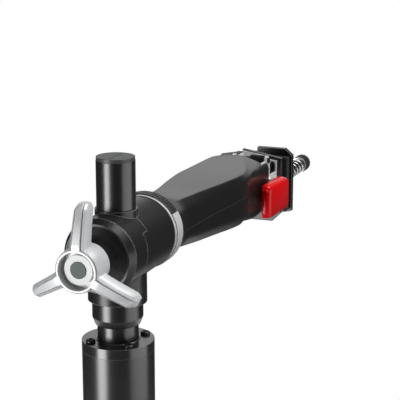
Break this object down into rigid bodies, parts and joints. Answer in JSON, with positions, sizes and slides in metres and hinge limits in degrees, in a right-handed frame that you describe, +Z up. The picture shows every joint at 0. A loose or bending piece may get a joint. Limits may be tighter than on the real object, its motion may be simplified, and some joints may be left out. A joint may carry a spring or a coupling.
{
  "type": "bicycle repair stand",
  "caption": "Floor-standing bicycle repair stand: plate base, lift column, swivel head with a three-arm lock knob, and a clamp arm with a sliding ratchet jaw.",
  "frame": {"origin": "on the floor under the column's axis", "axes": "+Z up along the column, +X along the clamp arm from the lock knob to the jaws"},
  "size_m": [0.7123, 0.52, 0.925],
  "materials": {
    "black_steel": "gloss black paint",
    "black_cast": "satin black powder coat",
    "cast_silver": "satin cast aluminium",
    "zinc_steel": "bright zinc plated steel",
    "dark_steel": "black oxide steel",
    "black_plastic": "satin black moulded plastic",
    "grey_plastic": "dark grey moulded plastic",
    "white_plastic": "white bearing plastic",
    "red_plastic": "gloss red plastic",
    "bronze": "turned bronze",
    "black_rubber": "black rubber"
  },
  "bodies": {
    "base": {"base_plate": "black_steel", "column_flange": "black_steel", "flange_bolts": "zinc_steel", "column_tube": "black_steel", "column_top_ring": "zinc_steel", "gland_cap": "black_steel", "gland_screws": "dark_steel", "guide_bush": "white_plastic", "wiper_seal": "black_rubber", "strut_rod": "zinc_steel", "strut_foot": "dark_steel"},
    "mast": {"lift_tube": "black_steel", "lower_guide": "white_plastic", "strut_cylinder": "black_steel", "strut_plug": "dark_steel", "adapter_cup": "black_steel", "cup_screws": "dark_steel", "post": "black_steel", "post_cap": "grey_plastic", "head_rear_half": "black_cast", "head_front_half": "black_cast", "head_bolts": "dark_steel", "rear_end_cap": "black_cast", "spindle_bush": "bronze", "friction_ring": "zinc_steel", "thrust_washer": "zinc_steel"},
    "lock_knob": {"tri_knob": "cast_silver", "knob_insert": "bronze", "knob_washer": "white_plastic", "knob_plug": "grey_plastic"},
    "arm": {"arm_spindle": "zinc_steel", "draw_bolt": "zinc_steel", "arm_collar": "black_plastic", "arm_beam": "dark_steel", "arm_top_shell": "black_plastic", "arm_lower_shell": "black_plastic", "arm_nose": "black_plastic", "shell_screws": "dark_steel", "jaw_bracket": "zinc_steel", "bracket_roller": "dark_steel", "fixed_jaw": "black_steel", "fixed_jaw_pad": "black_rubber", "rail_guide_block": "dark_steel", "guide_bolts": "zinc_steel", "paddle_pin": "zinc_steel", "paddle_spring": "zinc_steel", "pawl_bridge": "zinc_steel", "pawl_pin": "zinc_steel"},
    "jaw_carriage": {"slide_rail": "black_steel", "rail_yoke": "black_steel", "yoke_screws": "dark_steel", "adjuster_spring": "zinc_steel", "adjuster_washer": "zinc_steel"},
    "front_jaw": {"movable_jaw": "black_steel", "movable_jaw_pad": "black_rubber", "jaw_guide_pins": "zinc_steel"},
    "adjuster": {"adjuster_screw": "zinc_steel", "adjuster_knob": "black_plastic"},
    "paddle": {"release_paddle": "red_plastic"},
    "ratchet_pawl": {"pawl": "dark_steel"}
  },
  "joints": [
    {"name": "lift", "type": "slide", "parent": "base", "child": "mast", "axis": [0, 0, 1], "range_m": [0, 0.45]},
    {"name": "arm_turn", "type": "hinge", "parent": "mast", "child": "arm", "pos_m": [0, 0, 0.85], "axis": [1, 0, 0], "continuous": true},
    {"name": "knob_turn", "type": "hinge", "parent": "mast", "child": "lock_knob", "pos_m": [-0.06, 0, 0.85], "axis": [1, 0, 0], "range_deg": [0, 540]},
    {"name": "jaw_slide", "type": "slide", "parent": "arm", "child": "jaw_carriage", "axis": [1, 0, 0], "range_m": [-0.008, 0.03]},
    {"name": "adjuster_turn", "type": "hinge", "parent": "jaw_carriage", "child": "adjuster", "pos_m": [0.5, 0, 0.814], "axis": [1, 0, 0], "range_deg": [-725, 725]},
    {"name": "jaw_feed", "type": "slide", "parent": "jaw_carriage", "child": "front_jaw", "axis": [1, 0, 0], "range_m": [-0.003, 0.003]},
    {"name": "paddle_press", "type": "hinge", "parent": "arm", "child": "paddle", "pos_m": [0.34, -0.02375, 0.826], "axis": [0, 0, -1], "range_deg": [0, 5], "stiffness_Nm_per_rad": 0.6},
    {"name": "pawl_lift", "type": "hinge", "parent": "arm", "child": "ratchet_pawl", "pos_m": [0.32, 0.008, 0.8225], "axis": [0, 0, -1], "range_deg": [0, 4]}
  ],
  "couplings": [
    {"joint": "adjuster_turn", "follows": "jaw_feed", "rad_per_m": 4188.8},
    {"joint": "pawl_lift", "follows": "paddle_press", "ratio": 0.8}
  ]
}
